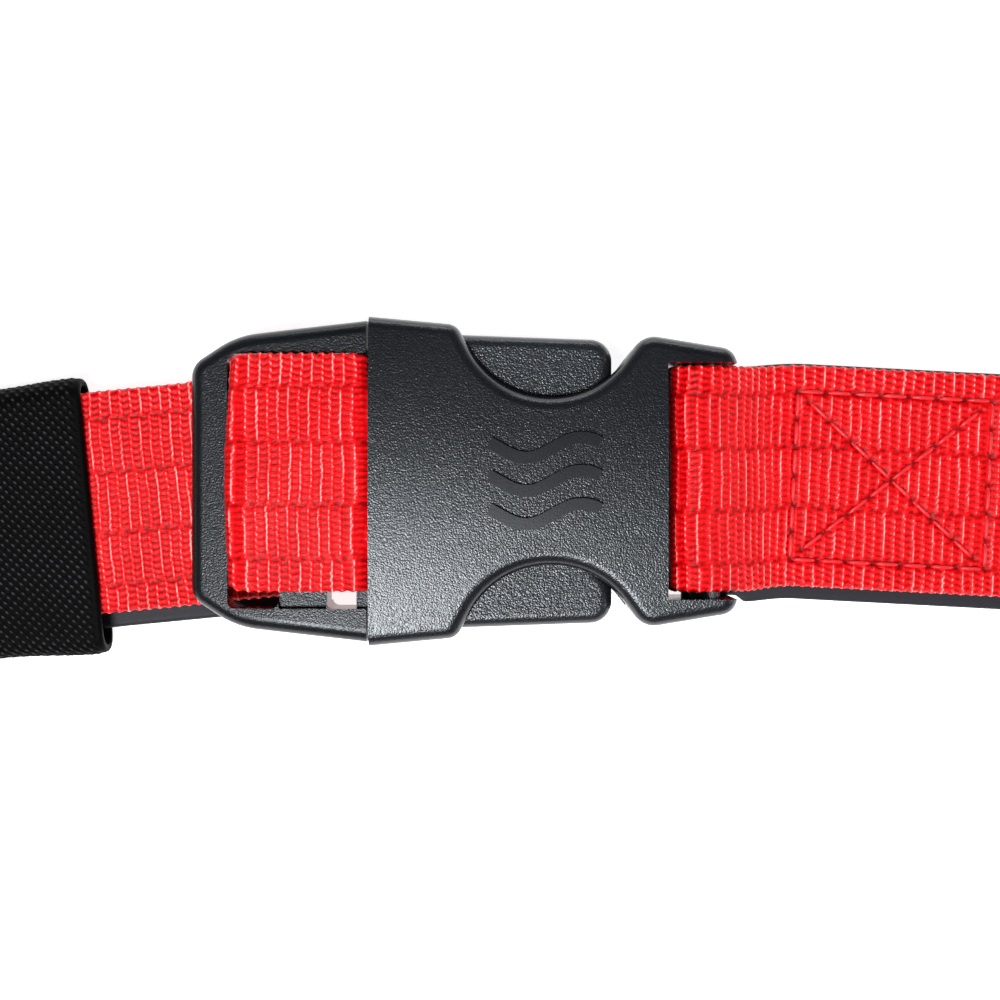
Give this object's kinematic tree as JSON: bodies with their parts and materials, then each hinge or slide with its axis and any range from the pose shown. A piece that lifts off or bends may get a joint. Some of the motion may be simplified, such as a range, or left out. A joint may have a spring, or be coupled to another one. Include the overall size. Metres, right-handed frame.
{
  "type": "side-release strap buckle",
  "caption": "Side-release plastic buckle on flat webbing: a socket with thumb cut-outs, a plug with a ladder-lock adjuster, a sewn strap and a sleeved strap.",
  "frame": {"origin": "middle of the socket housing's flat back face", "axes": "+X along the straps towards the sewn strap, +Y across the webbing, +Z out of the buckle's face"},
  "size_m": [0.1613, 0.0402, 0.0125],
  "materials": {
    "black_plastic": "satin, fine pebble grain",
    "red_webbing": "ribbed flat webbing",
    "red_thread": "sewing thread",
    "black_lining": "smooth tape",
    "black_sleeve": "coarse woven",
    "black_thread": "sewing thread"
  },
  "bodies": {
    "socket": {"socket_housing": "black_plastic"},
    "plug": {"plug_frame": "black_plastic", "adjuster_webbing_loop": "red_webbing", "adjuster_lining_end": "black_lining"},
    "upper_arm": {"release_arm_upper": "black_plastic"},
    "lower_arm": {"release_arm_lower": "black_plastic"},
    "fixed_strap": {"fixed_webbing": "red_webbing", "fixed_lining": "black_lining", "box_stitch_needle_thread": "red_thread", "box_stitch_bobbin_thread": "red_thread", "fixed_end_needle_thread": "red_thread", "fixed_end_bobbin_thread": "red_thread"},
    "adjuster_strap": {"adjuster_webbing_main": "red_webbing", "adjuster_webbing_tail": "red_webbing", "adjuster_lining": "black_lining", "adjuster_end_needle_thread": "red_thread", "adjuster_end_bobbin_thread": "red_thread"},
    "sleeve": {"strap_sleeve": "black_sleeve", "sleeve_seam_thread": "black_thread"}
  },
  "joints": [
    {"name": "plug_slide", "type": "slide", "parent": "socket", "child": "plug", "axis": [-1, 0, 0], "range_m": [0, 0.035], "deforming": ["release_arm_upper", "release_arm_lower"]},
    {"name": "upper_arm_squeeze", "type": "hinge", "parent": "plug", "child": "upper_arm", "pos_m": [-0.0176, 0.0086, 0.006], "axis": [0, 0, -1], "range_deg": [0, 10], "stiffness_Nm_per_rad": 0.3},
    {"name": "lower_arm_squeeze", "type": "hinge", "parent": "plug", "child": "lower_arm", "pos_m": [-0.0176, -0.0086, 0.006], "axis": [0, 0, 1], "range_deg": [0, 10], "stiffness_Nm_per_rad": 0.3},
    {"name": "fixed_strap_swing", "type": "hinge", "parent": "socket", "child": "fixed_strap", "pos_m": [0.0166, 0, 0.006], "axis": [0, -1, 0], "range_deg": [-60, 60]},
    {"name": "adjuster_strap_swing", "type": "hinge", "parent": "plug", "child": "adjuster_strap", "pos_m": [-0.04205, 0, 0.0032], "axis": [0, 1, 0], "range_deg": [-60, 75]},
    {"name": "sleeve_slide", "type": "slide", "parent": "adjuster_strap", "child": "sleeve", "axis": [-0.9954, -0.0958, 0], "range_m": [-0.004, 0.007]}
  ]
}
